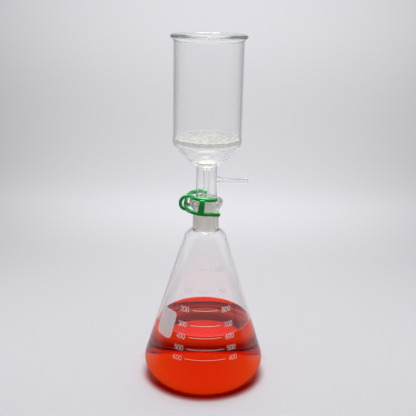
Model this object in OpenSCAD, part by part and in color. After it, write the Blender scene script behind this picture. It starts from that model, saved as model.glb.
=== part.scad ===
// Vacuum filtration unit: a conical flask with a ground neck, a sintered-disc
// filter funnel with a side hose connection, and a plastic joint clip.
// Millimetres. +Z is up. The origin is the centre of the flask's base, on the
// surface that it stands on. The hose connection points along +X.

/* [Flask] */
// Widest outside diameter of the flask
flask_od = 131; // [115:1:150]
// Height of the flask, from the surface it stands on to the top of its neck
flask_h = 200.6; // [190:0.1:240]
// Wall of the flask
flask_wall = 2; // [1.6:0.1:2.6]
// Height at which the flask is widest
belly_z = 18.5; // [17:0.5:20]
// Radius of the turn from the heel of the base to the cone
base_turn = 22; // [20.5:0.5:28]
// Radius of the small turn between the base and its side
heel_r = 6; // [4:0.5:8]
// Width of the flat ring that the flask stands on
foot_w = 3.5; // [1:0.5:10]
// How far the middle of the base is pushed up
push_up = 2.6; // [1:0.1:4]
// Radius of the turn from the cone to the neck
shoulder_turn = 12; // [10:0.5:14]
// Length of the neck above the shoulder
neck_len = 31.8; // [31:0.1:40]
// Outside diameter of the neck
neck_od = 28; // [27:0.1:30]
// Radius of the small fillet between shoulder and neck
neck_fillet = 2; // [1:0.1:3]
// Outside diameter of the collar round the mouth of the neck
collar_od = 35.2; // [33:0.1:35.4]
// Height of the straight part of the collar
collar_h = 5; // [3.5:0.1:5.4]
// Height of the taper under the collar
collar_taper_h = 6.4; // [5:0.1:6.4]

/* [Ground joint] */
// Diameter of the ground joint at its wide end
joint_d = 24; // [23:0.1:24.4]
// Length of the ground zone
joint_len = 29; // [24:0.5:30]
// Gap between the ground faces, on the radius
joint_clear = 0.05; // [0.03:0.01:0.1]

/* [Filtrate] */
// Height of the filtrate's surface above the base
fill_z = 64.2; // [50:0.1:95]

/* [Funnel] */
// Outside diameter of the funnel's cup
cup_od = 71; // [60:0.5:80]
// Wall of the cup and its bowl
cup_wall = 2.6; // [2:0.1:3]
// Height of the cup's rim above the frit
cup_depth = 102.8; // [60:0.1:130]
// Radius of the rim's bead
bead_r = 1.9; // [1.4:0.1:2.2]
// How far the rim stands out beyond the cup's wall
rim_flare = 3.1; // [2:0.1:4]
// Radius of the hollow curve from the wall to the rim
flare_r = 4; // [3:0.5:6]
// Distance from the mouth of the flask to the underside of the bowl
bowl_rise = 38.2; // [34:0.1:50]
// Height of the bowl, from its underside to the underside of the frit
bowl_h = 24.7; // [22:0.1:32]
// Radius of the turn from the cup's wall to the bowl
bowl_turn = 8; // [6:0.5:10]
// Radius of the bowl's rounded bottom
bowl_bottom_r = 14; // [12:0.5:16]
// Outside diameter of the vacuum tube under the bowl
tube_od = 22; // [21:0.1:22.4]
// Wall of the vacuum tube and the ground cone
tube_wall = 1.6; // [1.2:0.1:2]
// Outside diameter of the drip stem inside the vacuum tube
stem_od = 7; // [6:0.1:8]
// Wall of the drip stem
stem_wall = 1; // [0.8:0.1:1.4]
// Length of the taper from the bowl to the drip stem
throat_h = 6.5; // [4:0.1:9]
// How far the drip stem reaches below the ground cone
drip_len = 9; // [4:0.5:14]

/* [Hose connection] */
// Height of the hose connection above the mouth of the flask
hose_rise = 21.2; // [18:0.1:24]
// Distance from the funnel's axis to the end of the hose connection
hose_reach = 43.5; // [34:0.5:60]
// Outside diameter of the hose connection where it leaves the vacuum tube
hose_root_od = 8.6; // [7:0.1:10]
// Outside diameter of its waist
hose_od = 5; // [4.6:0.1:6]
// Distance from the funnel's axis to its waist
hose_waist = 25.5; // [20:0.5:28]
// Outside diameter of the swell at its end
hose_end_od = 6.6; // [6:0.1:8]
// Bore of the hose connection
hose_bore = 2.6; // [2:0.1:3]

/* [Frit] */
// Thickness of the sintered disc
frit_t = 4; // [3:0.1:6]

/* [Joint clip] */
// Diameter of the clip's round rods
rod_d = 4.4; // [3.6:0.1:4.4]
// Radius of the upper ring, to the middle of its rod
ring_top_r = 15.3; // [15:0.1:17]
// Radius of the lower ring, to the middle of its rod
ring_low_r = 18; // [18:0.1:19]
// How far the clip sits off the neck's axis
clip_offset = 3; // [2.6:0.1:3.4]
// Gap between the clip's upper ring and the mouth of the flask
clip_seat_clear = 1.5; // [1.4:0.1:3]
// Height between the middles of the two rings
ring_pitch = 14.5; // [14.5:0.1:15.5]
// Tilt of the clip
clip_tilt = 5; // [0:0.5:6]
// Direction in which the clip sits off the axis and rises
clip_lean = 180; // [0:5:360]
// Direction of the clip's closed side
clip_back = 200; // [0:5:360]
// Turn of each ring from its closed side to where its arms run straight, upper and lower
ring_wrap = [105, 85]; // [80:1:110]
// Length of the straight ends of the arms, upper and lower
arm_end = [4.5, 12.5]; // [2:0.5:14]
// Reach of the clip's finger loop beyond the middle of its upper ring
loop_reach = 10.2; // [8.5:0.1:14]
// Diameter of the finger loop's rod
loop_d = 3.7; // [3:0.1:4]
// Width of the straps that join the two rings
strap_w = 5.6; // [4:0.1:7]
// Thickness of the straps
strap_t = 2; // [1.6:0.1:3]
// How far the straps bow out
strap_bow = 0.8; // [0.7:0.1:2]
// Directions of the straps, turned from the clip's closed side
strap_turn = [-41, 65]; // [-75:1:75]

/* [Print] */
// Thickness of the white enamel
enamel_t = 0.15; // [0.1:0.01:0.3]
// Height of a graduation line
line_h = 0.5; // [0.4:0.05:0.9]
// Heights of the graduation lines above the base
line_z = [42.8, 52.8, 64.6, 76.8, 92, 111, 133];
// Half the angle that the lowest and the highest line take up
line_half = [21.5, 14.5]; // [10:0.5:25]
// Direction of the middle of the lines
line_turn = -88; // [-180:1:180]
// Width of the marking patch
patch_w = 26; // [18:0.5:32]
// Height of the marking patch, along the cone
patch_h = 30; // [20:0.5:40]
// Radius of the marking patch's corners
patch_corner = 5; // [2:0.5:8]
// Height of the middle of the marking patch above the base
patch_z = 72; // [60:1:100]
// Direction of the marking patch
patch_turn = -144; // [-180:1:180]

/* [Hidden] */
$fn = 96;
arc_steps = 14;

// Points on an arc about c from angle a0 to a1
function arc(c, r, a0, a1, n = arc_steps) =
    [for (i = [0:n]) let (a = a0 + (a1 - a0) * i / n) [c[0] + r * cos(a), c[1] + r * sin(a)]];

// Direction of the outward normal of the straight line that touches two circles on one side
function touch_angle(c0, r0, c1, r1) =
    let (d = c1 - c0)
    atan2(d[1], d[0]) - acos((r0 - r1) / norm(d));

// Places in the flask's outline
neck_r = neck_od / 2;
collar_r = collar_od / 2;
base_c = [flask_od / 2 - base_turn, belly_z];
heel_c = base_c + [
    sqrt(pow(base_turn - heel_r, 2) - pow(belly_z - heel_r, 2)),
    heel_r - belly_z
];
heel_a = atan2(heel_c[1] - base_c[1], heel_c[0] - base_c[0]);
// How far the centre of the shoulder's turn lies inside the neck's outside
shoulder_in = 2.8;
shoulder_c = [neck_r - shoulder_in, flask_h - neck_len - shoulder_turn];
cone_a = touch_angle(base_c, base_turn, shoulder_c, shoulder_turn);
fillet_c = [
    neck_r + neck_fillet,
    shoulder_c[1] + sqrt(pow(shoulder_turn + neck_fillet, 2)
        - pow(neck_r + neck_fillet - shoulder_c[0], 2))
];
fillet_a = atan2(fillet_c[1] - shoulder_c[1], fillet_c[0] - shoulder_c[0]);
collar_z = flask_h - collar_h;
taper_z = collar_z - collar_taper_h;
// Radius of the collar's rounded edges
lip_r = 1;

// The ground joint narrows by one in ten of its length, on the diameter
joint_taper = 10;
joint_top_r = joint_d / 2;
joint_low_z = flask_h - joint_len;
function joint_r(z) = joint_top_r - (flask_h - z) / joint_taper / 2;

// Radius of the cone's outside at a height
cone_p = base_c + base_turn * [cos(cone_a), sin(cone_a)];
function cone_r(z) = cone_p[0] - (z - cone_p[1]) * tan(cone_a);
function cone_in_r(z) = cone_r(z) - flask_wall / cos(cone_a);

// The pushed-up middle of the base is an arc of a large circle
foot_r = heel_c[0] - foot_w;
dome_r = (pow(foot_r, 2) + pow(push_up, 2)) / (2 * push_up);
dome_a = asin(foot_r / dome_r);
dome_c = [0, push_up - dome_r];
dome_in_a = acos((flask_wall - dome_c[1]) / (dome_r + flask_wall));

// Places in the funnel's outline
cup_r = cup_od / 2;
bore_r = cup_r - cup_wall;
bowl_z = flask_h + bowl_rise;
frit_z = bowl_z + bowl_h;
rim_z = frit_z + frit_t + cup_depth;
bead_c = [cup_r + rim_flare - bead_r, rim_z - bead_r];
flare_c = [
    cup_r + flare_r,
    bead_c[1] - sqrt(pow(flare_r + bead_r, 2) - pow(cup_r + flare_r - bead_c[0], 2))
];
flare_a = atan2(bead_c[1] - flare_c[1], bead_c[0] - flare_c[0]);
// Radius of the curve from the cup's inside to the rim
mouth_flare_r = flare_r + cup_wall;
mouth_c = [
    bore_r + mouth_flare_r,
    bead_c[1] - sqrt(pow(mouth_flare_r - bead_r, 2) - pow(bore_r + mouth_flare_r - bead_c[0], 2))
];
mouth_a = atan2(bead_c[1] - mouth_c[1], bead_c[0] - mouth_c[0]);
tube_r = tube_od / 2;
tube_in_r = tube_r - tube_wall;
stem_r = stem_od / 2;
turn_c = [cup_r - bowl_turn, frit_z];
// How far the centre of the bowl's rounded bottom lies inside the vacuum tube's outside
bottom_in = 2;
bottom_c = [tube_r - bottom_in, bowl_z + bowl_bottom_r];
bowl_a = touch_angle(bottom_c, bowl_bottom_r, turn_c, bowl_turn);
// Radius of the fillet between the bowl and the vacuum tube
seal_fillet = 1.5;
seal_c = [
    tube_r + seal_fillet,
    bottom_c[1] - sqrt(pow(bowl_bottom_r + seal_fillet, 2)
        - pow(tube_r + seal_fillet - bottom_c[0], 2))
];
seal_a = atan2(seal_c[1] - bottom_c[1], seal_c[0] - bottom_c[0]);
// Radius of the round inner corner where the vacuum tube is sealed to the bowl
seal_round = 0.8;
// Width of the seal between the vacuum tube and the throat of the drip stem
seal_w = 2.2;
throat_r = tube_in_r - seal_w;
// Just above the flask's mouth the ground cone narrows to the vacuum tube
step_z = flask_h + 0.4;
step_h = 2;
// The drip stem ends in a slanted tip with a narrow flat at its lowest point
drip_z = joint_low_z - drip_len;
tip_slant = 35;
tip_flat = stem_wall / 2;
tip_len = (stem_od + stem_wall) / cos(tip_slant);
// The hose connection
hose_z = flask_h + hose_rise;
hose_end_r = hose_end_od / 2;

// Steps in a curve that follows a square law
swell_steps = 8;
// Points from radius r0 at height x0 to radius r1 at height x1, along a square law
function swell(x0, r0, x1, r1, ts) =
    [for (i = ts) let (t = i / swell_steps) [r0 + (r1 - r0) * t * t, x0 + (x1 - x0) * t]];

// How far a piece of glass or a rod starts inside the one that it grows from
sink = 0.2;

// Places in the clip
half_pitch = ring_pitch / 2;
clip_z = flask_h + clip_seat_clear + rod_d / 2 - half_pitch;
// How much thinner the clip's straight rods are than its curved ones
arm_thin = 0.1;

// Outside of the flask, from the middle of its base up to the mouth
function flask_outside() = concat(
    arc(dome_c, dome_r, 90, 90 - dome_a),
    arc(heel_c, heel_r, -90, heel_a),
    arc(base_c, base_turn, heel_a, cone_a),
    arc(shoulder_c, shoulder_turn, cone_a, fillet_a),
    arc(fillet_c, neck_fillet, fillet_a + 180, 180),
    [[neck_r, taper_z]],
    arc([collar_r - lip_r, collar_z + lip_r / 2], lip_r, -45, 0),
    arc([collar_r - lip_r, flask_h - lip_r], lip_r, 0, 90)
);

// Inside of the flask below a height in its cone, from that height down to the middle
function flask_inside() = concat(
    arc(base_c, base_turn - flask_wall, cone_a, heel_a),
    arc(heel_c, heel_r - flask_wall, heel_a, -90),
    arc(dome_c, dome_r + flask_wall, 90 - dome_in_a, 90)
);

module flask() {
    color([0.86, 0.92, 0.94, 0.4])
        rotate_extrude()
            polygon(concat(
                flask_outside(),
                [[joint_top_r, flask_h], [joint_r(joint_low_z), joint_low_z]],
                arc(shoulder_c, shoulder_turn - flask_wall, 90, cone_a),
                flask_inside()
            ));
}

module filtrate() {
    color([0.85, 0.15, 0.08])
        rotate_extrude()
            polygon(concat([[0, fill_z], [cone_in_r(fill_z), fill_z]], flask_inside()));
}

// A thin layer on the cone's outside between two heights
module cone_layer(z0, z1, turn, half) {
    t = enamel_t / cos(cone_a);
    rotate(turn - half)
        rotate_extrude(angle = 2 * half)
            polygon([
                [cone_r(z0), z0], [cone_r(z0) + t, z0],
                [cone_r(z1) + t, z1], [cone_r(z1), z1]
            ]);
}

module graduation_lines() {
    last = len(line_z) - 1;
    color("white")
        for (i = [0:last]) {
            share = (line_z[i] - line_z[0]) / (line_z[last] - line_z[0]);
            half = line_half[0] + (line_half[1] - line_half[0]) * share;
            cone_layer(line_z[i] - line_h / 2, line_z[i] + line_h / 2, line_turn, half);
        }
}

// A rectangle with round corners, centred
module round_rect(w, h, r) {
    square([w - 2 * r, h], center = true);
    square([w, h - 2 * r], center = true);
    for (x = [-1, 1], y = [-1, 1])
        translate([x * (w / 2 - r), y * (h / 2 - r)])
            circle(r);
}

module marking_patch() {
    rise = patch_h * cos(cone_a);
    color([0.93, 0.93, 0.93])
        intersection() {
            cone_layer(patch_z - rise, patch_z + rise, patch_turn, 90);
            rotate(patch_turn)
                translate([0, 0, patch_z])
                    rotate([90, 0, 90])
                        linear_extrude(flask_od)
                            round_rect(patch_w, rise, patch_corner);
        }
}

// Section of the funnel's glass, from the rim down its outside and back up its inside
function funnel_section() = concat(
    arc(bead_c, bead_r, mouth_a, flare_a - 180),
    arc(flare_c, flare_r, flare_a, 180),
    arc(turn_c, bowl_turn, 0, bowl_a),
    arc(bottom_c, bowl_bottom_r, bowl_a, seal_a),
    arc(seal_c, seal_fillet, seal_a + 180, 180),
    [
        [tube_r, step_z + step_h],
        [joint_r(step_z) - joint_clear, step_z],
        [joint_r(joint_low_z) - joint_clear, joint_low_z],
        [joint_r(joint_low_z) - joint_clear - tube_wall, joint_low_z],
        [tube_in_r, flask_h]
    ],
    arc([tube_in_r - seal_round, bowl_z - seal_round], seal_round, 0, 90),
    [
        [throat_r, bowl_z],
        [stem_r, bowl_z - throat_h],
        [stem_r, drip_z],
        [stem_r - stem_wall, drip_z],
        [stem_r - stem_wall, bowl_z - throat_h + stem_wall],
        [throat_r - stem_wall, bowl_z + stem_wall]
    ],
    arc(bottom_c, bowl_bottom_r - cup_wall, -90, bowl_a),
    arc(turn_c, bowl_turn - cup_wall, bowl_a, 0),
    arc(mouth_c, mouth_flare_r, 180, mouth_a)
);

// Outside of the hose connection, drawn up along Z from the middle of the vacuum tube
module hose_outside() {
    end_round = hose_end_r / 2;
    end_c = [hose_end_r - end_round, hose_reach - end_round];
    rotate_extrude()
        polygon(concat(
            [[0, 0], [hose_root_od / 2, 0]],
            swell(hose_waist, hose_od / 2, tube_in_r, hose_root_od / 2, [swell_steps:-1:0]),
            swell(hose_waist, hose_od / 2, end_c[1], hose_end_r, [1:swell_steps - 1]),
            arc(end_c, end_round, 0, 90),
            [[0, hose_reach]]
        ));
}

module filter_funnel() {
    color([0.86, 0.92, 0.94, 0.4])
        difference() {
            union() {
                difference() {
                    translate([0, 0, hose_z])
                        rotate([0, 90, 0])
                            hose_outside();
                    translate([0, 0, hose_z])
                        cylinder(r = tube_in_r, h = 2 * tube_od, center = true);
                }
                rotate_extrude()
                    polygon(funnel_section());
            }
            // Bore of the hose connection, into the vacuum tube
            translate([tube_in_r - stem_wall, 0, hose_z])
                rotate([0, 90, 0])
                    cylinder(d = hose_bore, h = hose_reach);
            // Slant of the drip stem's tip
            translate([stem_r - tip_flat, 0, drip_z])
                rotate([0, tip_slant, 0])
                    translate([-tip_len, -stem_od, -stem_od])
                        cube([tip_len + stem_r, 2 * stem_od, stem_od]);
        }
}

module frit_disc() {
    color([0.95, 0.95, 0.93])
        translate([0, 0, frit_z])
            cylinder(r = bore_r, h = frit_t);
}

// One ring of the clip, its closed side along +X
module clip_ring(r, wrap, end_len) {
    rotate(-wrap)
        rotate_extrude(angle = 2 * wrap)
            translate([r, 0])
                circle(d = rod_d);
    for (side = [-1, 1])
        rotate(side * wrap)
            translate([r, 0, 0])
                rotate([-90 * side, 0, 0])
                    translate([0, 0, -sink])
                        cylinder(d = rod_d - arm_thin, h = end_len + sink);
}

// The loop that a finger pulls, along +X
module finger_loop() {
    x = ring_top_r + loop_reach - half_pitch;
    translate([x, 0, 0])
        rotate([90, 0, 0])
            rotate(-90)
                rotate_extrude(angle = 180)
                    translate([half_pitch, 0])
                        circle(d = loop_d);
    for (leg = [[ring_top_r, half_pitch], [ring_low_r, -half_pitch]])
        translate([leg[0], 0, leg[1]])
            rotate([0, 90, 0])
                cylinder(d = loop_d - arm_thin, h = x - leg[0] + sink);
}

// A flat strap from ring to ring, bowed out past the collar of the neck by a square law
module strap(turn) {
    half = asin(strap_w / 2 / ring_low_r);
    seat = rod_d / 4;
    inside = [for (i = [0:swell_steps]) let (t = i / swell_steps)
        [ring_top_r + (ring_low_r - ring_top_r) * t + seat + 4 * strap_bow * t * (1 - t),
            half_pitch - ring_pitch * t]];
    outside = [for (i = [swell_steps:-1:0]) inside[i] + [strap_t, 0]];
    rotate(turn - half)
        rotate_extrude(angle = 2 * half)
            polygon(concat(inside, outside));
}

module joint_clip() {
    color([0.1, 0.7, 0.25])
        translate([0, 0, clip_z])
            rotate(clip_lean)
                rotate([0, -clip_tilt, 0])
                    translate([clip_offset, 0, 0])
                        rotate(clip_back - clip_lean) {
                            translate([0, 0, half_pitch])
                                clip_ring(ring_top_r, ring_wrap[0], arm_end[0]);
                            translate([0, 0, -half_pitch])
                                clip_ring(ring_low_r, ring_wrap[1], arm_end[1]);
                            finger_loop();
                            for (turn = strap_turn)
                                strap(turn);
                        }
}

flask();
filtrate();
graduation_lines();
marking_patch();
filter_funnel();
frit_disc();
joint_clip();
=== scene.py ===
"""Looks of the vacuum filtration unit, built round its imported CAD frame.

Sizes are in millimetres and repeat the values of the part's source. Blender's objects are in metres.
"""

import math

import bmesh
import bpy
from mathutils import Matrix, Vector, noise


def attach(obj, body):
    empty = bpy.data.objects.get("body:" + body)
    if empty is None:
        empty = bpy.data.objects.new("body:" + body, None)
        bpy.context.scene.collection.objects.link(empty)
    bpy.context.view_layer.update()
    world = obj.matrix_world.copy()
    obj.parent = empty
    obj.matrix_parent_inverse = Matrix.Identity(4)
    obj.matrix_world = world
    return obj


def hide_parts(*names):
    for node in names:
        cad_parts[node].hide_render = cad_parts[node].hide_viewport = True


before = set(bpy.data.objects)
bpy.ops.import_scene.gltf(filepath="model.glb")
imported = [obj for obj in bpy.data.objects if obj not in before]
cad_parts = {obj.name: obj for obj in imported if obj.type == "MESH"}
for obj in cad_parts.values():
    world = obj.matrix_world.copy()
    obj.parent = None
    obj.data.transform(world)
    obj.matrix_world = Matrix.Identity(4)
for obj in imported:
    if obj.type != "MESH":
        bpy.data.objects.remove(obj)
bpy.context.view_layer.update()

MM = 0.001

# ---------------------------------------------------------------- sizes, in millimetres
FLASK_OD, FLASK_H, FLASK_WALL = 131, 200.6, 2
BELLY_Z, BASE_TURN, HEEL_R, FOOT_W, PUSH_UP = 18.5, 22, 6, 3.5, 2.6
SHOULDER_TURN, SHOULDER_IN, NECK_LEN, NECK_OD, NECK_FILLET = 12, 2.8, 31.8, 28, 2
COLLAR_OD, COLLAR_H, COLLAR_TAPER_H, LIP_R = 35.2, 5, 6.4, 1
JOINT_D, JOINT_LEN, JOINT_CLEAR, JOINT_TAPER = 24, 29, 0.05, 10
FILL_Z = 64.2
CUP_OD, CUP_WALL, CUP_DEPTH = 71, 2.6, 102.8
BEAD_R, RIM_FLARE, FLARE_R = 1.9, 3.1, 4
BOWL_RISE, BOWL_H, BOWL_TURN, BOWL_BOTTOM_R, BOTTOM_IN = 38.2, 24.7, 8, 14, 2
TUBE_OD, TUBE_WALL, STEM_OD, STEM_WALL, THROAT_H, DRIP_LEN = 22, 1.6, 7, 1, 6.5, 9
SEAL_FILLET, SEAL_ROUND, SEAL_W = 1.5, 0.8, 2.2
STEP_RISE, STEP_H = 0.4, 2
HOSE_RISE, HOSE_REACH, HOSE_WAIST = 21.2, 43.5, 25.5
HOSE_ROOT_OD, HOSE_OD, HOSE_END_OD, HOSE_BORE = 8.6, 5, 6.6, 2.6
FRIT_T = 4
ROD_D, RING_TOP_R, RING_LOW_R, RING_PITCH = 4.4, 15.3, 18, 14.5
CLIP_OFFSET, CLIP_SEAT_CLEAR, CLIP_TILT, CLIP_LEAN, CLIP_BACK = 3, 1.5, 5, 180, 200
RING_WRAP, ARM_END = (105, 85), (4.5, 12.5)
LOOP_REACH, LOOP_D = 10.2, 3.7
STRAP_W, STRAP_T, STRAP_BOW, STRAP_TURN = 5.6, 2, 0.8, (-41, 65)
ENAMEL_IN, ENAMEL_OUT, LINE_H = 0.02, 0.13, 0.5
LINE_Z = (42.8, 52.8, 64.6, 76.8, 92, 111, 133)
LINE_HALF, LINE_TURN = (21.5, 14.5), -88
PATCH_W, PATCH_H, PATCH_CORNER, PATCH_Z, PATCH_TURN = 26, 30, 5, 72, -144
MENISCUS_RISE = 1.6
# Looks that only the scene has
FROST_IN, FROST_RUN_ON = 10, 3
FIGURE_H, FIGURE_LINE, FIGURE_PITCH = 5.4, 0.62, 0.66
LEFT_FIGURES, RIGHT_FIGURES = (600, 500, 400, 300, 200, 100, 0), (400, 500, 600, 700, 800, 900, 1000)
LEFT_TURN, RIGHT_TURN = -117.5, -58
WHITE = (1.0, 0.97, 0.97)

# ---------------------------------------------------------------- light and camera, in metres
GLASS_IOR, LIQUID_IOR = 1.47, 1.34
CAMERA_AT, CAMERA_TURNS = (0, -0.71174, 0.41610), (0.17, 17.53, 1.133)
FLOOR_COLOUR = (0.768, 0.768, 0.811)
# Painted light and shade on the floor: greys by place, from front to back
PAINTED_LIGHT_BANDS = ((0.033, 0.93), (0.1, 0.919), (0.18, 0.845), (0.26, 0.816), (0.34, 0.84), (0.4, 0.895),
               (0.44, 0.997), (0.475, 1.0), (0.52, 0.925), (0.57, 0.865), (0.66, 0.874), (0.76, 0.852),
               (0.87, 0.835), (0.95, 0.818))
SKY_LIGHT = 0.25
SKY_SHADES = ((0.0, (0.72, 0.72, 0.755)), (0.1, (0.74,) * 3), (0.35, (0.82,) * 3), (0.7, (0.95,) * 3),
              (1.0, (0.95,) * 3))


# ---------------------------------------------------------------- outlines, as (radius, height)
def arc(centre, r, a0, a1, n=24):
    """Points on an arc about centre, from angle a0 to a1 in degrees."""
    angles = [math.radians(a0 + (a1 - a0) * i / n) for i in range(n + 1)]
    return [(centre[0] + r * math.cos(a), centre[1] + r * math.sin(a)) for a in angles]


def direction(p, q):
    """Angle of the way from p to q, in degrees."""
    return math.degrees(math.atan2(q[1] - p[1], q[0] - p[0]))


def touch_angle(c0, r0, c1, r1):
    """Direction of the outward normal of the straight line that touches two circles on one side."""
    return direction(c0, c1) - math.degrees(math.acos((r0 - r1) / math.dist(c0, c1)))


def beside(c, r, x):
    """Height above c's of the point at radius x that lies r away from c."""
    return math.sqrt(r * r - (x - c[0]) ** 2)


base_c = (FLASK_OD / 2 - BASE_TURN, BELLY_Z)
heel_c = (base_c[0] + math.sqrt((BASE_TURN - HEEL_R) ** 2 - (BELLY_Z - HEEL_R) ** 2), HEEL_R)
heel_a = direction(base_c, heel_c)
shoulder_c = (NECK_OD / 2 - SHOULDER_IN, FLASK_H - NECK_LEN - SHOULDER_TURN)
cone_a = touch_angle(base_c, BASE_TURN, shoulder_c, SHOULDER_TURN)
fillet_x = NECK_OD / 2 + NECK_FILLET
fillet_c = (fillet_x, shoulder_c[1] + beside(shoulder_c, SHOULDER_TURN + NECK_FILLET, fillet_x))
fillet_a = direction(shoulder_c, fillet_c)
foot_r = heel_c[0] - FOOT_W
dome_r = (foot_r ** 2 + PUSH_UP ** 2) / (2 * PUSH_UP)
dome_c = (0, PUSH_UP - dome_r)
dome_a = math.degrees(math.asin(foot_r / dome_r))
dome_in_a = math.degrees(math.acos((FLASK_WALL - dome_c[1]) / (dome_r + FLASK_WALL)))
cone_p = arc(base_c, BASE_TURN, cone_a, cone_a, 1)[0]
joint_low_z = FLASK_H - JOINT_LEN


def cone_r(z):
    """Outside radius of the flask's cone at a height."""
    return cone_p[0] - (z - cone_p[1]) * math.tan(math.radians(cone_a))


def cone_in_r(z):
    return cone_r(z) - FLASK_WALL / math.cos(math.radians(cone_a))


def joint_r(z):
    return JOINT_D / 2 - (FLASK_H - z) / JOINT_TAPER / 2


def flask_inside(grow=0.0):
    """The flask's inside below its cone, from the cone down to the middle, grown into the glass."""
    return (arc(base_c, BASE_TURN - FLASK_WALL + grow, cone_a, heel_a)
            + arc(heel_c, HEEL_R - FLASK_WALL + grow, heel_a, -90, 10)
            + arc(dome_c, dome_r + FLASK_WALL - grow, 90 - dome_in_a, 90))


def flask_outline():
    collar_z = FLASK_H - COLLAR_H
    taper_z = collar_z - COLLAR_TAPER_H
    lip_x = COLLAR_OD / 2 - LIP_R
    return (arc(dome_c, dome_r, 90, 90 - dome_a)
            + arc(heel_c, HEEL_R, -90, heel_a, 12)
            + arc(base_c, BASE_TURN, heel_a, cone_a)
            + arc(shoulder_c, SHOULDER_TURN, cone_a, fillet_a)
            + arc(fillet_c, NECK_FILLET, fillet_a + 180, 180)
            + arc((NECK_OD / 2 + 3, taper_z), 3, 180, 153, 6)
            + arc((lip_x, collar_z + LIP_R / 2), LIP_R, -27, 0, 8)
            + arc((lip_x, FLASK_H - LIP_R), LIP_R, 0, 90, 12)
            + arc((JOINT_D / 2 + 0.5, FLASK_H - 0.5), 0.5, 90, 180, 8)
            + [(joint_r(joint_low_z), joint_low_z)]
            + arc(shoulder_c, SHOULDER_TURN - FLASK_WALL, 90, cone_a)
            + flask_inside())


def filtrate_outline():
    grow = 0.06
    rise, reach = MENISCUS_RISE, 2.2
    wall = cone_in_r(FILL_Z + rise) + grow
    meniscus = []
    for i in range(25):
        t = 1 - i / 24
        meniscus.append((wall - 8 * (1 - t), FILL_Z + rise * math.exp(-8 * (1 - t) / reach)))
    return flask_inside(grow)[::-1] + [(wall, FILL_Z + rise)] + meniscus[1:] + [(0, FILL_Z + 0.001)]


bowl_z = FLASK_H + BOWL_RISE
frit_z = bowl_z + BOWL_H
rim_z = frit_z + FRIT_T + CUP_DEPTH
cup_r, bore_r = CUP_OD / 2, CUP_OD / 2 - CUP_WALL
tube_r, tube_in_r = TUBE_OD / 2, TUBE_OD / 2 - TUBE_WALL
stem_r = STEM_OD / 2
hose_z = FLASK_H + HOSE_RISE
drip_z = joint_low_z - DRIP_LEN


def funnel_outline():
    bead_c = (cup_r + RIM_FLARE - BEAD_R, rim_z - BEAD_R)
    flare_c = (cup_r + FLARE_R, bead_c[1] - beside(bead_c, FLARE_R + BEAD_R, cup_r + FLARE_R))
    flare_a = direction(flare_c, bead_c)
    mouth_r = FLARE_R + CUP_WALL
    mouth_c = (bore_r + mouth_r, bead_c[1] - beside(bead_c, mouth_r - BEAD_R, bore_r + mouth_r))
    mouth_a = direction(mouth_c, bead_c)
    turn_c = (cup_r - BOWL_TURN, frit_z)
    bottom_c = (tube_r - BOTTOM_IN, bowl_z + BOWL_BOTTOM_R)
    bowl_a = touch_angle(bottom_c, BOWL_BOTTOM_R, turn_c, BOWL_TURN)
    seal_x = tube_r + SEAL_FILLET
    seal_c = (seal_x, bottom_c[1] - beside(bottom_c, BOWL_BOTTOM_R + SEAL_FILLET, seal_x))
    seal_a = direction(bottom_c, seal_c)
    step_z = FLASK_H + STEP_RISE
    low_r = joint_r(joint_low_z) - JOINT_CLEAR
    throat_r = tube_in_r - SEAL_W
    return (arc(bead_c, BEAD_R, mouth_a, flare_a - 180, 32)
            + arc(flare_c, FLARE_R, flare_a, 180)
            + arc(turn_c, BOWL_TURN, 0, bowl_a)
            + arc(bottom_c, BOWL_BOTTOM_R, bowl_a, seal_a)
            + arc(seal_c, SEAL_FILLET, seal_a + 180, 180, 12)
            + [(tube_r, step_z + STEP_H + 0.5), (tube_r + 0.1, step_z + STEP_H),
               (joint_r(step_z) - JOINT_CLEAR - 0.1, step_z + 0.3),
               (joint_r(step_z) - JOINT_CLEAR, step_z)]
            + arc((low_r - 0.5, joint_low_z + 0.5), 0.5, 0, -90, 8)
            + arc((low_r - TUBE_WALL + 0.5, joint_low_z + 0.5), 0.5, -90, -180, 8)
            + [(tube_in_r, FLASK_H)]
            + arc((tube_in_r - SEAL_ROUND, bowl_z - SEAL_ROUND), SEAL_ROUND, 0, 90, 12)
            + [(throat_r, bowl_z), (stem_r + 1.2, bowl_z - THROAT_H * 0.55),
               (stem_r + 0.3, bowl_z - THROAT_H * 0.88), (stem_r, bowl_z - THROAT_H - 0.8)]
            + arc((stem_r - 0.4, drip_z + 0.4), 0.4, 0, -90, 6)
            + arc((stem_r - STEM_WALL + 0.4, drip_z + 0.4), 0.4, -90, -180, 6)
            + [(stem_r - STEM_WALL, bowl_z - THROAT_H - 0.8 + STEM_WALL),
               (stem_r - STEM_WALL + 0.3, bowl_z - THROAT_H * 0.88 + STEM_WALL),
               (stem_r - STEM_WALL + 1.2, bowl_z - THROAT_H * 0.55 + STEM_WALL),
               (throat_r - STEM_WALL, bowl_z + STEM_WALL)]
            + arc(bottom_c, BOWL_BOTTOM_R - CUP_WALL, -90, bowl_a)
            + arc(turn_c, BOWL_TURN - CUP_WALL, bowl_a, 0)
            + arc(mouth_c, mouth_r, 180, mouth_a))


# ---------------------------------------------------------------- meshes
def new_object(name, mesh):
    obj = bpy.data.objects.new(name, mesh)
    bpy.context.scene.collection.objects.link(obj)
    return obj


def finish_mesh(obj, sharp=35):
    """Smooth shading with true edges, and normals that point out."""
    bm = bmesh.new()
    bm.from_mesh(obj.data)
    bmesh.ops.remove_doubles(bm, verts=bm.verts, dist=1e-7)
    bmesh.ops.recalc_face_normals(bm, faces=bm.faces)
    bm.to_mesh(obj.data)
    bm.free()
    obj.data.polygons.foreach_set("use_smooth", [True] * len(obj.data.polygons))
    obj.data.set_sharp_from_angle(angle=math.radians(sharp))
    return obj


def tidy(outline, gap=0.02):
    """The outline without points that lie on top of each other."""
    kept = [outline[0]]
    for p in outline[1:]:
        if math.dist(p, kept[-1]) > gap:
            kept.append(p)
    return kept


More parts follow.
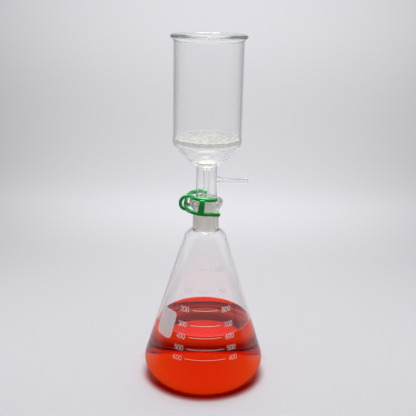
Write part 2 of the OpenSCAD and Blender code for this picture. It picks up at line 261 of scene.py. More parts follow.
def lathe(name, outline, turns=192, sharp=35, closed=False):
    """A solid of revolution. The outline starts and ends on the axis, or is closed."""
    points = tidy(outline)
    if closed and math.dist(points[0], points[-1]) < 0.02:
        points.pop()
    bm = bmesh.new()
    rings = []
    for r, z in points:
        if r < 1e-6:
            rings.append([bm.verts.new((0, 0, z * MM))])
            continue
        angles = [2 * math.pi * i / turns for i in range(turns)]
        rings.append([bm.verts.new((r * MM * math.cos(a), r * MM * math.sin(a), z * MM)) for a in angles])
    pairs = list(zip(rings, rings[1:]))
    if closed:
        pairs.append((rings[-1], rings[0]))
    for low, high in pairs:
        for i in range(turns):
            j = (i + 1) % turns
            corners = [low[i % len(low)], low[j % len(low)], high[j % len(high)], high[i % len(high)]]
            bm.faces.new(list(dict.fromkeys(corners)))
    mesh = bpy.data.meshes.new(name)
    bm.to_mesh(mesh)
    bm.free()
    return finish_mesh(new_object(name, mesh), sharp)


def skin(bm, rows):
    """Closes rows of ring points into a solid with flat ends."""
    for low, high in zip(rows, rows[1:]):
        for k in range(len(low)):
            n = (k + 1) % len(low)
            bm.faces.new((low[k], low[n], high[n], high[k]))
    bm.faces.new(rows[0][::-1])
    bm.faces.new(rows[-1])


def combine(obj, other, operation):
    """Joins other to obj or cuts it away, and removes other."""
    cut = obj.modifiers.new("cut", "BOOLEAN")
    cut.operation = operation
    cut.solver = "EXACT"
    cut.object = other
    evaluated = obj.evaluated_get(bpy.context.evaluated_depsgraph_get())
    mesh = bpy.data.meshes.new_from_object(evaluated)
    obj.modifiers.remove(cut)
    obj.data = mesh
    bpy.data.objects.remove(other)
    return obj


def lay_along_x(obj, z):
    """Turns a lathe's axis to +X, at a height."""
    obj.data.transform(Matrix.Translation((0, 0, z * MM)) @ Matrix.Rotation(math.pi / 2, 4, "Y"))
    return obj


# ---------------------------------------------------------------- nodes
def new_material(name):
    mat = bpy.data.materials.new(name)
    mat.use_nodes = True
    nt = mat.node_tree
    nt.nodes.clear()
    return mat, nt


def add(nt, kind, **settings):
    """A node of a kind, with its properties by name."""
    node = nt.nodes.new(kind)
    for key, value in settings.items():
        setattr(node, key, value)
    return node


def join(nt, socket, value):
    """Links a socket to another node's output, or sets it to a plain value."""
    if isinstance(value, bpy.types.NodeSocket):
        nt.links.new(value, socket)
    else:
        socket.default_value = value


def put(nt, node, **inputs):
    """Joins a node's inputs to values. Underscores in the names stand for spaces."""
    for key, value in inputs.items():
        join(nt, node.inputs[key.replace("_", " ")], value)
    return node


def maths(nt, operation, a, b=0.0, clamp=False):
    node = add(nt, "ShaderNodeMath", operation=operation, use_clamp=clamp)
    join(nt, node.inputs[0], a)
    join(nt, node.inputs[1], b)
    return node.outputs[0]


def times(nt, *factors):
    product = factors[0]
    for factor in factors[1:]:
        product = maths(nt, "MULTIPLY", product, factor)
    return product


def plus(nt, *terms):
    total = terms[0]
    for term in terms[1:]:
        total = maths(nt, "ADD", total, term)
    return total


def without(nt, share):
    """What is left of 1 without a share."""
    return maths(nt, "SUBTRACT", 1.0, share)


def vectors(nt, operation, a, b):
    node = add(nt, "ShaderNodeVectorMath", operation=operation)
    join(nt, node.inputs[0], a)
    join(nt, node.inputs["Scale"] if operation == "SCALE" else node.inputs[1], b)
    return node.outputs["Value" if operation == "DOT_PRODUCT" else "Vector"]


def split(nt, vector):
    """The x, y and z of a vector."""
    node = add(nt, "ShaderNodeSeparateXYZ")
    nt.links.new(vector, node.inputs[0])
    return node.outputs


def blend(nt, share, a, b):
    """Colour a where the share is 0, and colour b where it is 1."""
    node = add(nt, "ShaderNodeMix", data_type="RGBA")
    put(nt, node, Factor=share, A=(*a, 1), B=(*b, 1))
    return node.outputs["Result"]


def place(nt):
    """The point on the piece, in metres, as a vector and as x, y and z."""
    coords = add(nt, "ShaderNodeTexCoord").outputs["Object"]
    return coords, split(nt, coords)


def step(nt, value, low, high):
    """Rises smoothly from 0 at low to 1 at high."""
    node = add(nt, "ShaderNodeMapRange", interpolation_type="SMOOTHSTEP")
    put(nt, node, Value=value, From_Min=low, From_Max=high)
    return node.outputs["Result"]


def band(nt, value, low, high, edge):
    """1 from low to high and 0 away from there, each with a soft edge to both sides."""
    return times(nt, step(nt, value, low - edge, low + edge),
                 without(nt, step(nt, value, high - edge, high + edge)))


def noise_of(nt, coords, scale, detail=2.0, roughness=0.5):
    node = add(nt, "ShaderNodeTexNoise")
    put(nt, node, Vector=coords, Scale=scale, Detail=detail, Roughness=roughness)
    return node.outputs["Fac"]


def bump_of(nt, height, strength, distance, normal=None):
    node = add(nt, "ShaderNodeBump")
    put(nt, node, Height=height, Strength=strength, Distance=distance)
    if normal is not None:
        nt.links.new(normal, node.inputs["Normal"])
    return node.outputs["Normal"]


def principled(nt, **inputs):
    return put(nt, add(nt, "ShaderNodeBsdfPrincipled"), **inputs)


def mix_shaders(nt, share, first, second):
    node = add(nt, "ShaderNodeMixShader")
    for socket, value in zip(node.inputs, (share, first, second)):
        nt.links.new(value, socket)
    return node.outputs[0]


def let_lamps_through(nt, surface, tint, steep_tint=None, top=FILL_Z * MM):
    """Lets a lamp's rays through glass, so that it shades what is behind it only a little.

    Below the height top a steep wall bends the rays of the lamp overhead into the filtrate,
    so only its red comes out of them.
    """
    clear = put(nt, add(nt, "ShaderNodeBsdfTransparent"), Color=(*tint, 1))
    if steep_tint is not None:
        normal = split(nt, add(nt, "ShaderNodeNewGeometry").outputs["True Normal"])
        steep = without(nt, step(nt, maths(nt, "ABSOLUTE", normal[2]), 0.5, 0.95))
        steep = times(nt, steep, maths(nt, "LESS_THAN", place(nt)[1][2], top))
        put(nt, clear, Color=blend(nt, steep, tint, steep_tint))
    shadow = add(nt, "ShaderNodeLightPath").outputs["Is Shadow Ray"]
    return mix_shaders(nt, shadow, surface, clear.outputs[0])


def output(nt, surface, volume=None):
    out = add(nt, "ShaderNodeOutputMaterial")
    nt.links.new(surface, out.inputs["Surface"])
    if volume is not None:
        nt.links.new(volume, out.inputs["Volume"])


def radius_of(nt, xyz):
    """Distance from the common axis, in metres."""
    return maths(nt, "SQRT", plus(nt, *[times(nt, xyz[i], xyz[i]) for i in (0, 1)]))


def facing(nt, xyz, radius):
    """How far the solid's true surface faces outwards from the axis and how far it faces up."""
    geometry = add(nt, "ShaderNodeNewGeometry")
    normal = split(nt, geometry.outputs["True Normal"])
    across = plus(nt, *[times(nt, xyz[i], normal[i]) for i in (0, 1)])
    side = without(nt, times(nt, geometry.outputs["Backfacing"], 2.0))
    return times(nt, maths(nt, "DIVIDE", across, radius), side), times(nt, normal[2], side)


# ---------------------------------------------------------------- materials
def bowl_streaks(nt, coords, z):
    """Upright streaks where the funnel's bowl was drawn in."""
    drawn = vectors(nt, "MULTIPLY", coords, (1, 1, 0.1))
    low, high = (bowl_z + 2) * MM, (frit_z - 1) * MM
    bowl = times(nt, step(nt, z, low, low + 4 * MM), without(nt, step(nt, z, high - 5 * MM, high)))
    return times(nt, noise_of(nt, drawn, 150, 2), bowl)


def glass_material(name, frost_low, frost_high, frost_out, wet=False, seals=()):
    """Clear blown glass, ground rough between two heights and inside a radius. Wet glass holds the filtrate.

    Seals are milky places, each between two heights and inside a radius.
    """
    mat, nt = new_material(name)
    coords, xyz = place(nt)
    radius = radius_of(nt, xyz)
    edge = 0.4 * MM
    frosted = times(nt, band(nt, xyz[2], frost_low * MM, frost_high * MM, edge),
                    maths(nt, "GREATER_THAN", radius, FROST_IN * MM),
                    maths(nt, "LESS_THAN", radius, frost_out * MM))
    for low, high, out in seals:
        seal = times(nt, band(nt, xyz[2], low * MM, high * MM, edge),
                     maths(nt, "LESS_THAN", radius, out * MM))
        frosted = maths(nt, "MAXIMUM", frosted, seal)
    grit = noise_of(nt, coords, 900, 3)
    rough = times(nt, frosted, plus(nt, 0.45, times(nt, grit, 0.3)))
    tint = blend(nt, frosted, (1, 1, 1), (0.995, 0.96, 0.93))
    clear = without(nt, times(nt, frosted, 0.25))
    normal = bump_of(nt, noise_of(nt, coords, 22, 1), 0.05, 0.001)
    if seals:
        normal = bump_of(nt, bowl_streaks(nt, coords, xyz[2]), 0.5, 0.0012, normal)
    shader = principled(nt, Base_Color=tint, IOR=GLASS_IOR, Transmission_Weight=clear, Roughness=rough,
                        Normal=normal)
    if wet:
        # Where the filtrate wets the wall, light bends as it does between the two
        out, up = facing(nt, xyz, radius)
        inner = maths(nt, "GREATER_THAN", maths(nt, "SUBTRACT", up, out), 0.3)
        low = maths(nt, "LESS_THAN", xyz[2], (FILL_Z + MENISCUS_RISE) * MM)
        change = times(nt, inner, low, GLASS_IOR / LIQUID_IOR - GLASS_IOR)
        put(nt, shader, IOR=plus(nt, GLASS_IOR, change))
    absorb = put(nt, add(nt, "ShaderNodeVolumeAbsorption"), Color=(0.35, 0.5, 0.45, 1), Density=3)
    steep_tint = (0.5, 0.04, 0.015) if wet else None
    surface = let_lamps_through(nt, shader.outputs[0], (0.97, 0.975, 0.975), steep_tint)
    output(nt, surface, absorb.outputs[0])
    return mat


def frit_material():
    """Grains of sintered glass. The raised fused edge is painted white as a highlight, and the speckled side
    is painted lighter to stand in for light on it.
    """
    mat, nt = new_material("sintered_glass")
    coords, xyz = place(nt)
    voronoi = put(nt, add(nt, "ShaderNodeTexVoronoi", feature="F1"), Vector=coords, Scale=520)
    grains = voronoi.outputs["Distance"]
    patches = noise_of(nt, coords, 210, 4, 0.65)
    top = frit_z + FRIT_T
    light = times(nt, step(nt, patches, 0.35, 0.6), step(nt, grains, 0.75, 0.25))
    # Painted highlight: the raised edge above the top is coloured white
    fused = step(nt, xyz[2], (top + 0.15) * MM, (top + 0.35) * MM)
    # The speckled side below the top is painted lighter, standing in for light on it
    side = without(nt, step(nt, xyz[2], (top - 1.2) * MM, (top - 0.5) * MM))
    speckle = step(nt, noise_of(nt, coords, 1100, 2), 0.35, 0.65)
    light = maths(nt, "MAXIMUM", maths(nt, "MAXIMUM", light, fused), times(nt, side, speckle, 0.95))
    colour = blend(nt, light, (0.5, 0.49, 0.465), (0.93, 0.93, 0.92))
    shader = principled(nt, Base_Color=colour, Roughness=0.75, IOR=1.3, Transmission_Weight=0.5,
                        Normal=bump_of(nt, grains, 0.6, 0.0006))
    output(nt, let_lamps_through(nt, shader.outputs[0], (0.95, 0.95, 0.94)))
    return mat


def filtrate_material():
    mat, nt = new_material("red_filtrate")
    coords, xyz = place(nt)
    normal = bump_of(nt, noise_of(nt, coords, 14, 1), 0.02, 0.001)
    # Only its surface bends light here: where the filtrate wets the flask, the flask's wall does
    _, up = facing(nt, xyz, radius_of(nt, xyz))
    top = times(nt, maths(nt, "GREATER_THAN", up, 0.6),
                maths(nt, "GREATER_THAN", xyz[2], (FILL_Z - 0.05) * MM))
    ior = plus(nt, 1.0, times(nt, top, LIQUID_IOR - 1))
    shader = principled(nt, Base_Color=(1, 1, 1, 1), IOR=ior, Transmission_Weight=1.0, Roughness=0.0,
                        Normal=normal)
    absorb = put(nt, add(nt, "ShaderNodeVolumeAbsorption"), Color=(0.975, 0.5, 0.0, 1), Density=60)
    output(nt, let_lamps_through(nt, shader.outputs[0], (0.86, 0.27, 0.22)), absorb.outputs[0])
    return mat


def plastic_material():
    """Green moulded plastic with a slight pearly sheen under a smooth skin."""
    mat, nt = new_material("green_plastic")
    coords, _ = place(nt)
    flow = noise_of(nt, coords, 120, 3)
    shader = principled(nt, Base_Color=blend(nt, flow, (0.008, 0.4, 0.06), (0.02, 0.55, 0.1)), Metallic=0.45,
                        Roughness=plus(nt, 0.28, times(nt, flow, 0.1)),
                        Normal=bump_of(nt, noise_of(nt, coords, 900, 2), 0.08, 0.0002),
                        Coat_Weight=1.0, Coat_IOR=1.5, Coat_Roughness=0.12)
    output(nt, shader.outputs[0])
    return mat


def enamel_material(name, colour, cover):
    """Fired enamel: a little uneven, and thin enough to let some of what is behind it through.

    The cover is its share low down, on the upper part of the filtrate and above the filtrate.
    """
    mat, nt = new_material(name)
    coords, xyz = place(nt)
    speck = step(nt, noise_of(nt, coords, 700, 3), 0.3, 0.6)
    shader = principled(nt, Base_Color=(*colour, 1), Roughness=0.5, Normal=bump_of(nt, speck, 0.2, 0.0001))
    clear = add(nt, "ShaderNodeBsdfTransparent")
    low, middle, high = cover
    share = plus(nt, low, times(nt, step(nt, xyz[2], 0.045, 0.08), middle - low),
                 times(nt, step(nt, xyz[2], 0.098, 0.108), high - middle))
    share = maths(nt, "ADD", share, times(nt, speck, 0.08), clamp=True)
    output(nt, mix_shaders(nt, share, clear.outputs[0], shader.outputs[0]))
    return mat


def own(obj, mat, body, slot, *nodes):
    """Gives a piece its material and body, and hides the CAD nodes that it stands for. Its slot is not used.
    """
    obj.data.materials.clear()
    obj.data.materials.append(mat)
    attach(obj, body)
    if nodes:
        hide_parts(*nodes)
    return obj


# ---------------------------------------------------------------- pieces
def make_flask():
    # The ground zone runs on a little below the joint
    glass = glass_material("flask_glass", joint_low_z - FROST_RUN_ON, FLASK_H, JOINT_D / 2 + 1.3, wet=True)
    own(lathe("flask_blown", flask_outline(), 256), glass, "flask", "flask_glass", "flask")


def swell(x0, r0, x1, r1, n=12):
    """Points from x0 to x1 whose radius grows ever faster from r0 to r1."""
    return [(r0 + (r1 - r0) * (i / n) ** 2, x0 + (x1 - x0) * i / n) for i in range(n + 1)]


def make_funnel():
    body = lathe("funnel_blown", funnel_outline(), 192, closed=True)
    end_round = HOSE_END_OD / 4
    end_c = (HOSE_END_OD / 2 - end_round, HOSE_REACH - end_round)
    start = tube_in_r + 0.4
    root = swell(HOSE_WAIST, HOSE_OD / 2, tube_r, HOSE_ROOT_OD / 2)[::-1]
    pipe = lathe("pipe", [(0, start), (HOSE_ROOT_OD / 2, start)] + root
                 + swell(HOSE_WAIST, HOSE_OD / 2, end_c[1], HOSE_END_OD / 2)[1:-1]
                 + arc(end_c, end_round, 0, 90, 10) + [(0, HOSE_REACH)], 64)
    combine(body, lay_along_x(pipe, hose_z), "UNION")
    bore = lathe("bore", [(0, tube_in_r - 2), (HOSE_BORE / 2, tube_in_r - 2),
                          (HOSE_BORE / 2, HOSE_REACH + 1), (0, HOSE_REACH + 1)], 48)
    combine(body, lay_along_x(bore, hose_z), "DIFFERENCE")
    finish_mesh(body, 40)
    glass = glass_material("funnel_glass", joint_low_z, FLASK_H + STEP_RISE, JOINT_D / 2 + 0.2,
                           seals=((bowl_z - THROAT_H, bowl_z + 0.3, 9), (bowl_z - 0.2, bowl_z + 2.6, 14.5)))
    own(body, glass, "funnel", "funnel_glass", "filter_funnel")


def make_frit():
    """The sintered disc, fused a little way into the cup's wall, with a grainy top and a raised edge."""
    edge, fused, ring_step, grain_depth = 0.4, 0.3, 0.8, 0.3
    lip, lip_in, lip_width = 0.7, 0.9, 0.6
    top_z = frit_z + FRIT_T
    r = bore_r + fused
    rings = int(r / ring_step)
    top = [((r - edge) * (1 - i / rings), top_z) for i in range(1, rings + 1)]
    frit = lathe("frit", [(0, frit_z)] + arc((r - edge, frit_z + edge), edge, -90, 0, 6)
                 + arc((r - edge, top_z - edge), edge, 0, 90, 6) + top, 256)
    for vertex in frit.data.vertices:
        if vertex.co.z > (top_z - 0.01) * MM:
            past = (vertex.co.xy.length / MM - (bore_r - lip_in)) / lip_width
            rise = lip * math.exp(-past * past)
            vertex.co.z += (rise - grain_depth * abs(noise.noise(vertex.co / MM * 1.1))) * MM
    own(frit, frit_material(), "funnel", "sintered_glass", "frit_disc")


def make_filtrate():
    own(lathe("liquid", filtrate_outline(), 256), filtrate_material(), "flask", "red_filtrate", "filtrate")


def rod(path, d, n=20):
    """A round rod along a path of points in the clip's own place, with domed ends."""
    points = [Vector(p) for p in path]
    bm = bmesh.new()
    rings = []
    side = None
    for i, p in enumerate(points):
        ahead = (points[min(i + 1, len(points) - 1)] - points[max(i - 1, 0)]).normalized()
        side = ahead.orthogonal() if side is None else side - ahead * side.dot(ahead)
        side.normalize()
        up = ahead.cross(side)
        ends = []
        if i in (0, len(points) - 1):
            out = -ahead if i == 0 else ahead
            ends = [(math.cos(a), out * math.sin(a)) for a in [math.radians(x) for x in (30, 55, 78)]]
        ring_list = [(1.0, Vector((0, 0, 0)))] + ends
        if i == 0:
            ring_list.reverse()
        for scale, shift in ring_list:
            rings.append([bm.verts.new(p + (shift + (side * math.cos(a) + up * math.sin(a)) * scale) * d / 2)
                          for a in [2 * math.pi * k / n for k in range(n)]])
    skin(bm, rings)
    return bm


def ring_path(r, wrap, end, z):
    """A ring that is open at the front, with straight ends."""
    path = [(x, y, z) for x, y in arc((0, 0), r, -wrap, wrap, 96)]
    tips = []
    for side in (-1, 1):
        a = math.radians(side * wrap)
        x = r * math.cos(a) - side * end * math.sin(a)
        y = r * math.sin(a) + side * end * math.cos(a)
        tips.append((x, y, z))
    return [tips[0]] + path + [tips[1]]


def loop_path(half):
    """The finger loop, from the top ring to the lower one."""
    x = RING_TOP_R + LOOP_REACH - half
    turn = [math.radians(90 - 180 * i / 32) for i in range(33)]
    bend = [(x + half * math.cos(a), 0, half * math.sin(a)) for a in turn]
    return [(RING_TOP_R, 0, half)] + bend + [(RING_LOW_R, 0, -half)]


def strap(turn, half):
    """A flat strap outside the two rings, bowed a little."""
    bm = bmesh.new()
    spread = math.asin(STRAP_W / 2 / RING_LOW_R)
    rows = []
    for t in [i / 12 for i in range(13)]:
        r = RING_TOP_R + (RING_LOW_R - RING_TOP_R) * t + ROD_D / 4 + 4 * STRAP_BOW * t * (1 - t)
        ring = []
        for out, sides in ((r, range(9)), (r + STRAP_T, range(8, -1, -1))):
            for a in [math.radians(turn) + spread * (k / 4 - 1) for k in sides]:
                ring.append(bm.verts.new((out * math.cos(a), out * math.sin(a), half - RING_PITCH * t)))
        rows.append(ring)
    skin(bm, rows)
    return bm


def make_clip():
    half = RING_PITCH / 2
    mesh = bpy.data.meshes.new("clip")
    bm = bmesh.new()
    parts = [rod(ring_path(RING_TOP_R, RING_WRAP[0], ARM_END[0], half), ROD_D),
             rod(ring_path(RING_LOW_R, RING_WRAP[1], ARM_END[1], -half), ROD_D),
             rod(loop_path(half), LOOP_D)]
    for part in parts + [strap(turn, half) for turn in STRAP_TURN]:
        part_mesh = bpy.data.meshes.new("part")
        part.to_mesh(part_mesh)
        part.free()
        bm.from_mesh(part_mesh)
        bpy.data.meshes.remove(part_mesh)
    clip_z = FLASK_H + CLIP_SEAT_CLEAR + ROD_D / 2 - half
    stand = (Matrix.Translation((0, 0, clip_z)) @ Matrix.Rotation(math.radians(CLIP_LEAN), 4, "Z")
             @ Matrix.Rotation(math.radians(-CLIP_TILT), 4, "Y") @ Matrix.Translation((CLIP_OFFSET, 0, 0))
             @ Matrix.Rotation(math.radians(CLIP_BACK - CLIP_LEAN), 4, "Z"))
    bmesh.ops.recalc_face_normals(bm, faces=bm.faces)
    bm.to_mesh(mesh)
    bm.free()
    mesh.transform(Matrix.Scale(MM, 4) @ stand)
    clip = new_object("clip", mesh)
    fuse = clip.modifiers.new("fuse", "REMESH")
    fuse.mode = "VOXEL"
    fuse.voxel_size = 0.28 * MM
    smooth = clip.modifiers.new("smooth", "SMOOTH")
    smooth.iterations = 6
    smooth.factor = 0.5
    evaluated = clip.evaluated_get(bpy.context.evaluated_depsgraph_get())
    done = bpy.data.meshes.new_from_object(evaluated)
    clip.modifiers.clear()
    clip.data = done
    finish_mesh(clip, 70)
    own(clip, plastic_material(), "clip", "green_plastic", "joint_clip")


def oval(cx, cy, rx, ry, a0=90, a1=450, n=20):
    """Points on part of an oval, from angle a0 to a1 in degrees."""
    return [(cx + rx * x, cy + ry * y) for x, y in arc((0, 0), 1, a0, a1, n)]


# Strokes of the plain figures on the scale, in a cell 0.6 wide and 1 high
FIGURES = {
    "0": [oval(0.3, 0.5, 0.25, 0.46)],
    "1": [[(0.14, 0.78), (0.32, 0.96), (0.32, 0.04)]],
    "2": [oval(0.3, 0.7, 0.24, 0.26, 165, -35, 12) + [(0.06, 0.04), (0.55, 0.04)]],
    "3": [oval(0.29, 0.73, 0.22, 0.23, 150, -90, 12) + oval(0.29, 0.27, 0.25, 0.23, 90, -150, 12)],
    "4": [[(0.42, 0.04), (0.42, 0.96), (0.05, 0.3), (0.56, 0.3)]],
    "5": [[(0.5, 0.96), (0.13, 0.96), (0.09, 0.54)] + oval(0.29, 0.32, 0.25, 0.28, 130, -145, 14)],
    "6": [[(0.46, 0.93)] + oval(0.42, 0.42, 0.36, 0.52, 100, 180, 8)
          + oval(0.3, 0.3, 0.24, 0.26, 180, 540, 18)],
    "7": [[(0.06, 0.96), (0.54, 0.96), (0.22, 0.04)]],
    "8": [oval(0.3, 0.73, 0.21, 0.23), oval(0.3, 0.27, 0.25, 0.24)],
    "9": [oval(0.3, 0.7, 0.24, 0.26, 0, 360, 18) + oval(0.18, 0.58, 0.36, 0.52, 0, -80, 8)],
}


def on_cone(turn, x, height, out):
    """A point at a height on the cone, x sideways from a turn and a little way out, in metres."""
    r = cone_r(height) + out
    a = math.radians(turn) + x / r
    return r * math.cos(a) * MM, r * math.sin(a) * MM, height * MM


def drape(bm, turn, z, half, high, corner, columns):
    """A thin rectangle of enamel with round corners on the cone. Its height is measured along the cone."""
    lean = math.cos(math.radians(cone_a))
    steps = 8
    lows = [-high / 2 + corner * (1 - math.cos(math.pi / 2 * i / steps)) for i in range(steps + 1)]
    rows = []
    for v in lows + [-v for v in lows[::-1]]:
        past = max(abs(v) - (high / 2 - corner), 0)
        wide = half - corner + math.sqrt(max(corner ** 2 - past ** 2, 0))
        xs = [wide * (2 * i / columns - 1) for i in range(columns + 1)]
        sides = [(x, ENAMEL_IN) for x in xs] + [(x, ENAMEL_OUT) for x in xs[::-1]]
        rows.append([bm.verts.new(on_cone(turn, x, z + v * lean, out)) for x, out in sides])
    skin(bm, rows)


def enamel_piece(name, bm, mat, slot, *nodes):
    mesh = bpy.data.meshes.new(name)
    bm.to_mesh(mesh)
    bm.free()
    own(finish_mesh(new_object(name, mesh)), mat, "flask", slot, *nodes)


def make_lines():
    bm = bmesh.new()
    for z in LINE_Z:
        share = (z - LINE_Z[0]) / (LINE_Z[-1] - LINE_Z[0])
        half_turn = LINE_HALF[0] + (LINE_HALF[1] - LINE_HALF[0]) * share
        drape(bm, LINE_TURN, z, math.radians(half_turn) * cone_r(z), LINE_H, LINE_H / 2, 24)
    enamel_piece("lines", bm, enamel_material("line_enamel", WHITE, (0.28, 0.95, 0.35)), "white_enamel",
                 "graduation_lines")


def make_patch():
    bm = bmesh.new()
    drape(bm, PATCH_TURN, PATCH_Z, PATCH_W / 2, PATCH_H, PATCH_CORNER, 28)
    mat = enamel_material("patch_enamel", (0.99, 0.96, 0.96), (0.42, 0.52, 0.52))
    enamel_piece("patch", bm, mat, "patch_enamel", "marking_patch")


def stroke_rows(bm, points, turn, z):
    """Rows of ring points for one stroke of a figure, along its points on the cone."""
    lean = math.cos(math.radians(cone_a))
    rows = []
    for i, p in enumerate(points):
        ahead = (points[min(i + 1, len(points) - 1)] - points[max(i - 1, 0)]).normalized()
        side = Vector((-ahead.y, ahead.x)) * FIGURE_LINE / 2
        corners = ((p - side, ENAMEL_IN), (p + side, ENAMEL_IN),
                   (p + side, ENAMEL_OUT), (p - side, ENAMEL_OUT))
        rows.append([bm.verts.new(on_cone(turn, q.x, z + q.y * lean, out)) for q, out in corners])
    return rows


def make_figures():
    """The numbers beside the graduation lines, as thin strokes of enamel that follow the cone."""
    labels = []
    for z, left, right in zip(LINE_Z, LEFT_FIGURES, RIGHT_FIGURES):
        if left:
            labels.append((str(left), LEFT_TURN, z))
        labels.append((str(right), RIGHT_TURN, z))
    bm = bmesh.new()
    for text, turn, z in labels:
        middle = Vector((FIGURE_PITCH * len(text) / 2, 0.5))
        for n, figure in enumerate(text):
            for stroke in FIGURES[figure]:
                points = [(Vector((n * FIGURE_PITCH + x, y)) - middle) * FIGURE_H for x, y in stroke]
                skin(bm, stroke_rows(bm, points, turn, z))
    mat = enamel_material("figure_enamel", WHITE, (0.3, 0.95, 0.35))
    enamel_piece("figures", bm, mat, "white_enamel")


# ---------------------------------------------------------------- stage, light and camera
def mirror_ray(nt):
    """1 for a ray that a surface mirrors, and 0 for one that has gone through glass."""
    path = add(nt, "ShaderNodeLightPath").outputs
    return maths(nt, "SUBTRACT", path["Is Glossy Ray"], path["Is Transmission Ray"], clamp=True)


def grey_ramp(nt, value, shades, interpolation="LINEAR"):
    """Greys by value. Shades are pairs of a place and a grey."""
    ramp = add(nt, "ShaderNodeValToRGB")
    ramp.color_ramp.interpolation = interpolation
    nt.links.new(value, ramp.inputs[0])
    stops = ramp.color_ramp.elements
    for i, (where, shade) in enumerate(shades):
        stop = stops[i] if i < 2 else stops.new(where)
        stop.position, stop.color = where, (*shade, 1)
    return ramp.outputs["Color"]


def paper_colour(nt, xyz):
    """Paper sweep with painted light and shade: bands from front to back, and a little darker towards the
    sides.
    """
    # How far it lies from the floor below the camera
    away = maths(nt, "MAXIMUM", plus(nt, xyz[1], 0.712), 0.55)
    shades = [(where, (grey,) * 3) for where, grey in PAINTED_LIGHT_BANDS]
    bands = grey_ramp(nt, maths(nt, "DIVIDE", 0.6, away), shades, "B_SPLINE")
    turn = maths(nt, "SUBTRACT", maths(nt, "DIVIDE", xyz[0], away), 0.02)
    side = maths(nt, "MINIMUM", times(nt, turn, turn, 2.6), 0.35)
    level = without(nt, times(nt, side, step(nt, xyz[1], 0.0, 0.6)))
    # Painted reflection: for rays that a surface mirrors, the floor in front is darkened, so the glass
    # mirrors a dark room in front of it
    mirrored = times(nt, mirror_ray(nt), without(nt, step(nt, xyz[1], -0.06, 0.1)))
    level = times(nt, level, without(nt, times(nt, mirrored, 0.95)))
    return vectors(nt, "SCALE", vectors(nt, "MULTIPLY", bands, FLOOR_COLOUR), level)


def red_shade(nt, xyz):
    """Painted shadow: two colours that dim the floor close to the flask, where only the filtrate's deep red
    falls on it.
    """
    radius = radius_of(nt, xyz)
    # Painted deep red shadow under the flask's overhang, in front of it
    front = without(nt, step(nt, xyz[1], -0.04, 0.015))
    red = plus(nt, times(nt, step(nt, radius, 0.052, 0.057), -0.34),
               times(nt, step(nt, radius, 0.059, 0.0705), 0.64))
    rest = maths(nt, "SUBTRACT", step(nt, radius, 0.0605, 0.0715), 1.0)
    shade = add(nt, "ShaderNodeCombineXYZ")
    nt.links.new(plus(nt, 1.0, times(nt, front, maths(nt, "SUBTRACT", red, 0.3))), shade.inputs[0])
    for socket in shade.inputs[1:]:
        nt.links.new(plus(nt, 1.0, times(nt, front, rest, 0.98)), socket)
    # Painted deep red shadow behind the flask, seen through the filtrate
    behind = times(nt, step(nt, xyz[1], 0.015, 0.045), step(nt, radius, 0.049, 0.055),
                   without(nt, step(nt, radius, 0.064, 0.082)))
    return shade.outputs[0], blend(nt, behind, (1, 1, 1), (0.4, 0.03, 0.03))


def make_floor():
    bm = bmesh.new()
    bmesh.ops.create_circle(bm, cap_ends=True, radius=40, segments=64)
    mesh = bpy.data.meshes.new("floor")
    bm.to_mesh(mesh)
    bm.free()
    floor = new_object("floor", mesh)
    mat, nt = new_material("floor")
    _, xyz = place(nt)
    colour = paper_colour(nt, xyz)
    # Painted deep red shadow round the flask's foot
    for shade in red_shade(nt, xyz):
        colour = vectors(nt, "MULTIPLY", colour, shade)
    output(nt, put(nt, add(nt, "ShaderNodeBsdfDiffuse"), Color=colour).outputs[0])
    floor.data.materials.append(mat)


def dark_room(nt, coords, path):
    """How dark the world is in a ray's direction."""
    # The glass mirrors a dark room behind the camera
    behind = vectors(nt, "DOT_PRODUCT", coords, Vector((0, -0.93, 0.37)).normalized())
    near = times(nt, step(nt, behind, 0.05, 0.45), mirror_ray(nt))
    # So is the room far behind the paper, which the filtrate's surface mirrors
    _, ahead, up = split(nt, coords)
    far = times(nt, step(nt, ahead, 0.0, 0.4), step(nt, up, 0.08, 0.2),
                maths(nt, "GREATER_THAN", path["Glossy Depth"], 0.5),
                maths(nt, "LESS_THAN", path["Transmission Depth"], 4.5))
    return maths(nt, "MAXIMUM", near, times(nt, far, 0.8))


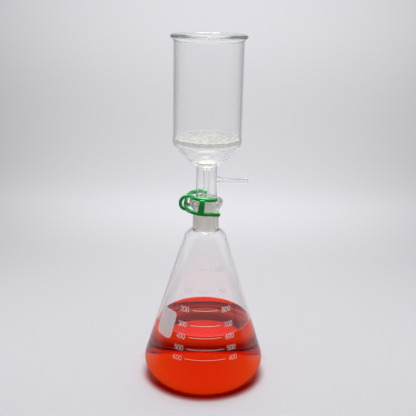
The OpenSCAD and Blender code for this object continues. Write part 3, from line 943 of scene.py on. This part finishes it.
def make_world():
    world = bpy.data.worlds.new("studio")
    bpy.context.scene.world = world
    world.use_nodes = True
    nt = world.node_tree
    nt.nodes.clear()
    coords = add(nt, "ShaderNodeTexCoord").outputs["Generated"]
    sky = grey_ramp(nt, split(nt, coords)[2], SKY_SHADES)
    path = add(nt, "ShaderNodeLightPath").outputs
    # The sky that is seen is pale, and the part of it that lights is dimmer than the lamp
    seen = maths(nt, "MAXIMUM", path["Is Camera Ray"], path["Is Glossy Ray"])
    seen = maths(nt, "MAXIMUM", seen, path["Is Transmission Ray"])
    scattered = maths(nt, "GREATER_THAN", path["Diffuse Depth"], 0.5)
    seen = times(nt, seen, without(nt, times(nt, scattered, 0.3)))
    lit = plus(nt, SKY_LIGHT, times(nt, seen, 1 - SKY_LIGHT))
    level = times(nt, lit, without(nt, times(nt, dark_room(nt, coords, path), 0.95)))
    back = put(nt, add(nt, "ShaderNodeBackground"), Color=sky, Strength=level)
    out = add(nt, "ShaderNodeOutputWorld")
    nt.links.new(back.outputs[0], out.inputs[0])


def make_lamp():
    """One wide, soft lamp overhead."""
    data = bpy.data.lights.new("overhead", "SUN")
    data.energy = 2.6
    data.angle = math.radians(36)
    lamp = new_object("overhead", data)
    lamp.rotation_euler = (math.radians(-10), 0, 0)
    # It already shines through the glass by way of its shadow rays
    lamp.visible_transmission = False


def make_camera():
    data = bpy.data.cameras.new("camera")
    data.sensor_width = 36
    data.lens = 60.95
    data.clip_start, data.clip_end = 0.05, 200
    camera = new_object("camera", data)
    yaw, pitch, roll = [math.radians(a) for a in CAMERA_TURNS]
    ahead = Vector((math.sin(yaw) * math.cos(pitch), math.cos(yaw) * math.cos(pitch), -math.sin(pitch)))
    look = ahead.to_track_quat("-Z", "Y").to_matrix().to_4x4()
    camera.matrix_world = Matrix.Translation(CAMERA_AT) @ look @ Matrix.Rotation(roll, 4, "Z")
    bpy.context.scene.camera = camera


def make_stage():
    make_floor()
    make_world()
    make_lamp()
    scene = bpy.context.scene
    scene.view_settings.view_transform = "Standard"
    # The thick glass needs many mirrored bounces, or its edges go black
    scene.cycles.max_bounces = 96
    scene.cycles.glossy_bounces = 48
    scene.cycles.transmission_bounces = 96
    scene.cycles.transparent_max_bounces = 32


make_camera()
make_flask()
make_filtrate()
make_funnel()
make_frit()
make_clip()
make_lines()
make_patch()
make_figures()
make_stage()
